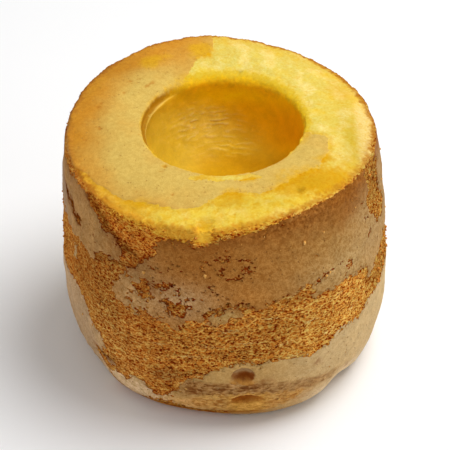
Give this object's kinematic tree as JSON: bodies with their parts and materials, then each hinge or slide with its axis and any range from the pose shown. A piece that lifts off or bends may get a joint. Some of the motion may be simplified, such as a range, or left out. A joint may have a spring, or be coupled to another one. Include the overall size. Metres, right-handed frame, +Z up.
{
  "type": "chiffon cake",
  "caption": "Small round chiffon cake with a browned, partly peeled side, a yellow crumb top and a blind bowl-shaped well.",
  "frame": {"origin": "middle of the flat base", "axes": "+Z up out of the well; the side with the two dents faces -Y"},
  "size_m": [0.1108, 0.112, 0.0864],
  "materials": {
    "cake": "matt baked sponge: browned, partly peeled crust on the side, tan and yellow crumb on top, moist orange-yellow lining in the well"
  },
  "bodies": {
    "root": {"cake": "cake"}
  },
  "joints": []
}
